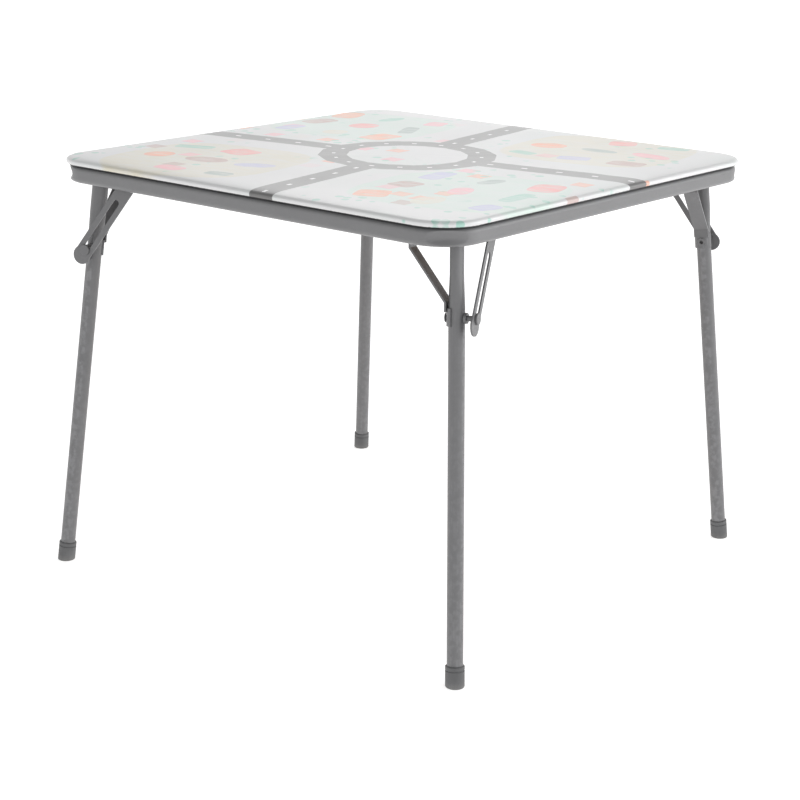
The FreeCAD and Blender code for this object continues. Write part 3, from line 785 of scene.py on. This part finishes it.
class PLAYTABLE_OT_frame_tube(bpy.types.Operator):
    """Build the bent tube frame as one ring with crushed bends and screw access holes"""
    bl_idname = "play_table.frame_tube"
    bl_label = "Frame Tube"

    def execute(self, context):
        size = sizes()
        half = -RAIL_LOW.y
        tall = RAIL_HIGH.z - RAIL_LOW.z
        wide = RAIL_HIGH.y - RAIL_LOW.y
        bend = half - RAIL_HIGH.x
        middle = (RAIL_HIGH.z + RAIL_LOW.z) / 2
        section = self.section(wide, tall, size.rail_round)
        stations = loop_stations(half - wide / 2, bend - wide / 2, 30, 120)
        rings = []
        for across, up in section:
            ring = []
            for place, out, share in stations:
                point = place + out * across + Vector((0, 0, middle + up))
                if share >= 0.0 and across > 0.0:
                    point = self.crushed(point, out, half, bend, middle)
                ring.append(point)
            rings.append(ring)
        vertices, faces = skin_rings(rings, True)
        mesh = outward_mesh("bent_tube_frame", vertices, faces, 50.0)
        tube = new_piece("bent_tube_frame", mesh, "frame_coat", "table")
        self.drill(tube)
        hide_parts(*["frame_rail_" + side for side in SIDES],
                    *["frame_bend_" + corner for corner in CORNERS])
        return {"FINISHED"}

    def section(self, wide, tall, radius):
        """Rounded section, outward side first, as across and up."""
        points = []
        for sign_x, sign_z, start in ((1, -1, -90), (1, 1, 0), (-1, 1, 90), (-1, -1, 180)):
            for step in range(13):
                angle = math.radians(start + 90.0 * step / 12)
                points.append((sign_x * (wide / 2 - radius) + radius * math.cos(angle),
                               sign_z * (tall / 2 - radius) + radius * math.sin(angle)))
            if start in (-90, 90):
                side = sign_x * wide / 2
                low, high = points[-1][1], -points[-1][1]
                points += [(side, low + (high - low) * step / 14) for step in range(1, 14)]
        return points

    def crushed(self, point, out, half, bend, middle):
        """Press a point of the bend's outside in by the level hollow across the corner."""
        size = sizes()
        corner = Vector((math.copysign(1, point.x), math.copysign(1, point.y), 0)).normalized()
        reach = (half - bend) * math.sqrt(2) + bend - size.crush_depth + size.crush_radius
        away = math.hypot(point.dot(corner) - reach, point.z - middle)
        press = size.crush_radius - away
        soft = 0.5 * (press + math.sqrt(press * press + 0.0004 ** 2))
        return point - out * soft

    def drill(self, tube):
        """Cut the round access holes in the lower wall, as the CAD rails have them."""
        work = bmesh.new()
        line = -RAIL_LOW.y - (RAIL_HIGH.y - RAIL_LOW.y) / 2
        for side in (-line, line):
            for step in (-0.15, 0.15):
                for x, y in ((step, side), (side, step)):
                    place = Matrix.Translation((x, y, RAIL_LOW.z))
                    bmesh.ops.create_cone(work, cap_ends=True, segments=40, radius1=0.005,
                                          radius2=0.005, depth=0.026, matrix=place)
        cutter_mesh = bpy.data.meshes.new("access_holes")
        work.to_mesh(cutter_mesh)
        work.free()
        cutter = bpy.data.objects.new("access_holes", cutter_mesh)
        bpy.context.scene.collection.objects.link(cutter)
        cut = tube.modifiers.new("access holes", "BOOLEAN")
        cut.object = cutter
        cut.operation = "DIFFERENCE"
        cut.solver = "EXACT"
        depsgraph = bpy.context.evaluated_depsgraph_get()
        drilled = bpy.data.meshes.new_from_object(tube.evaluated_get(depsgraph))
        tube.modifiers.clear()
        tube.data = drilled
        drilled.set_sharp_from_angle(angle=math.radians(50.0))
        bpy.data.objects.remove(cutter)


class PLAYTABLE_OT_legs(bpy.types.Operator):
    """Finish the leg tubes and their moulded foot caps"""
    bl_idname = "play_table.legs"
    bl_label = "Legs and Foot Caps"

    def execute(self, context):
        for corner in CORNERS:
            finish_node("leg_tube_" + corner, "leg_coat")
            finish_node("foot_cap_" + corner, "moulded_cap")
        return {"FINISHED"}


class PLAYTABLE_OT_braces(bpy.types.Operator):
    """Build the pressed brackets and braces with rolled edges"""
    bl_idname = "play_table.braces"
    bl_label = "Brackets and Braces"

    def execute(self, context):
        edge = sizes().plate_edge
        for corner in CORNERS:
            rolled_copy("leg_bracket_" + corner, "pressed_bracket_" + corner, edge,
                        "leg_coat", "table")
            rolled_copy("side_brace_" + corner, "saddle_brace_" + corner, edge,
                        "leg_coat", "leg_" + corner)
            rolled_copy("lock_brace_" + corner, "slotted_brace_" + corner, edge,
                        "leg_coat", "lock_brace_" + corner)
        return {"FINISHED"}


class PLAYTABLE_OT_fasteners(bpy.types.Operator):
    """Finish the pins, rivets, studs, lock buttons and screws"""
    bl_idname = "play_table.fasteners"
    bl_label = "Pins, Rivets and Screws"

    def execute(self, context):
        for group in ("frame_screws", "bracket_screws"):
            finish_node(group, "plated_steel")
        for corner in CORNERS:
            for kind in ("hinge_pin_", "side_pivot_rivet_", "lock_pivot_rivet_"):
                finish_node(kind + corner, "plated_steel")
            rolled_copy("lock_button_" + corner, "lock_knob_" + corner, 0.0002,
                        "leg_coat", "lock_button_" + corner)
            rolled_copy("lock_stud_" + corner, "eyelet_stud_" + corner, 0.0002,
                        "leg_coat", "leg_" + corner)
        return {"FINISHED"}


# Softboxes: name, place, what they aim at, size across in metres, power in watts.
SOFTBOXES = (
    ("key_softbox", (2.9, 2.0, 1.6), (0, 0, 0.35), 3.0, 52.0),
    ("back_softbox", (-1.9, 2.6, 2.9), (0, 0, 0.5), 2.2, 22.0),
)
HORIZON_GLOW = 1.42
ZENITH_GLOW = 0.36


class PLAYTABLE_OT_stage(bpy.types.Operator):
    """Lay the pale floor, set the soft studio lights and place the camera"""
    bl_idname = "play_table.stage"
    bl_label = "Floor, Lights and Camera"

    def execute(self, context):
        self.floor()
        self.world()
        for softbox in SOFTBOXES:
            self.light(*softbox)
        self.camera()
        return {"FINISHED"}

    def floor(self):
        work = bmesh.new()
        bmesh.ops.create_grid(work, x_segments=4, y_segments=4, size=30.0)
        mesh = bpy.data.meshes.new("studio_floor")
        work.to_mesh(mesh)
        work.free()
        made, tree, shader, point = new_material("pale_floor")
        cloud = grain_noise(tree, point, 0.8, 2.0)
        look = tuple(colours().floor)
        tree.links.new(mix(tree, cloud, tint(look, 0.995), tint(look, 1.005)),
                       shader.inputs["Base Color"])
        set_plain(shader, Roughness=0.9, Specular_IOR_Level=0.1, Emission_Strength=0.6,
                  Emission_Color=(1.0, 1.0, 1.0, 1.0))
        mesh.materials.append(made)
        floor = bpy.data.objects.new("studio_floor", mesh)
        bpy.context.scene.collection.objects.link(floor)

    def world(self):
        world = bpy.data.worlds.new("studio_white")
        world.use_nodes = True
        tree = world.node_tree
        back = tree.nodes["Background"]
        back.inputs[0].default_value = (1.0, 1.0, 1.0, 1.0)
        aim = node(tree, "ShaderNodeTexCoord").outputs["Generated"]
        rise = vector_maths(tree, "DOT_PRODUCT", aim, (0.0, 0.0, 1.0))
        tree.links.new(ramp(tree, rise, 0.10, 0.72, HORIZON_GLOW, ZENITH_GLOW), back.inputs[1])
        bpy.context.scene.world = world

    def light(self, name, place, target, size, power):
        data = bpy.data.lights.new(name, "AREA")
        data.shape = "DISK"
        data.size = size
        data.energy = power
        lamp = bpy.data.objects.new(name, data)
        lamp.location = place
        aim = Vector(target) - Vector(place)
        lamp.rotation_euler = aim.to_track_quat("-Z", "Y").to_euler()
        bpy.context.scene.collection.objects.link(lamp)

    def camera(self):
        stage = bpy.context.scene.play_table_stage
        turn, tilt, roll = (math.radians(v) for v in (stage.azimuth, stage.elevation, stage.roll))
        back = Vector((math.sin(turn) * math.cos(tilt), -math.cos(turn) * math.cos(tilt),
                       math.sin(tilt)))
        right = Vector((math.cos(turn), math.sin(turn), 0.0))
        up = back.cross(right)
        level_right, level_up = right.copy(), up.copy()
        right = level_right * math.cos(roll) + level_up * math.sin(roll)
        up = level_up * math.cos(roll) - level_right * math.sin(roll)
        data = bpy.data.cameras.new("studio_camera")
        data.lens = stage.lens
        data.sensor_width = 36.0
        data.clip_end = 200.0
        data.shift_x = stage.shift_x
        data.shift_y = stage.shift_y
        camera = bpy.data.objects.new("studio_camera", data)
        place = Vector((0.0, 0.0, stage.target_height)) + back * stage.distance
        camera.matrix_world = Matrix((
            (right.x, up.x, back.x, place.x),
            (right.y, up.y, back.y, place.y),
            (right.z, up.z, back.z, place.z),
            (0.0, 0.0, 0.0, 1.0)))
        bpy.context.scene.collection.objects.link(camera)
        bpy.context.scene.camera = camera
        bpy.context.scene.view_settings.view_transform = "Standard"


OPERATORS = (
    PLAYTABLE_OT_padded_top,
    PLAYTABLE_OT_underside,
    PLAYTABLE_OT_frame_tube,
    PLAYTABLE_OT_legs,
    PLAYTABLE_OT_braces,
    PLAYTABLE_OT_fasteners,
    PLAYTABLE_OT_stage,
)


class PLAYTABLE_PT_panel(bpy.types.Panel):
    """Sizes, colours and build steps of the play table"""
    bl_label = "Play Table"
    bl_idname = "PLAYTABLE_PT_panel"
    bl_space_type = "VIEW_3D"
    bl_region_type = "UI"
    bl_category = "Play Table"

    def draw(self, context):
        scene = context.scene
        for group in (scene.play_table_sizes, scene.play_table_colours, scene.play_table_stage):
            box = self.layout.box()
            for name in group.bl_rna.properties.keys():
                if name not in ("rna_type", "name"):
                    box.prop(group, name)
        for operator in OPERATORS:
            self.layout.operator(operator.bl_idname)


CLASSES = (PlayTableSizes, PlayTableColours, PlayTableStage, *OPERATORS, PLAYTABLE_PT_panel)


def register():
    for item in CLASSES:
        bpy.utils.register_class(item)
    bpy.types.Scene.play_table_sizes = PointerProperty(type=PlayTableSizes)
    bpy.types.Scene.play_table_colours = PointerProperty(type=PlayTableColours)
    bpy.types.Scene.play_table_stage = PointerProperty(type=PlayTableStage)


def unregister():
    del bpy.types.Scene.play_table_stage
    del bpy.types.Scene.play_table_colours
    del bpy.types.Scene.play_table_sizes
    for item in reversed(CLASSES):
        bpy.utils.unregister_class(item)


def main():
    register()
    for operator in OPERATORS:
        group, step = operator.bl_idname.split(".")
        getattr(getattr(bpy.ops, group), step)()


if __name__ == "__main__":
    main()
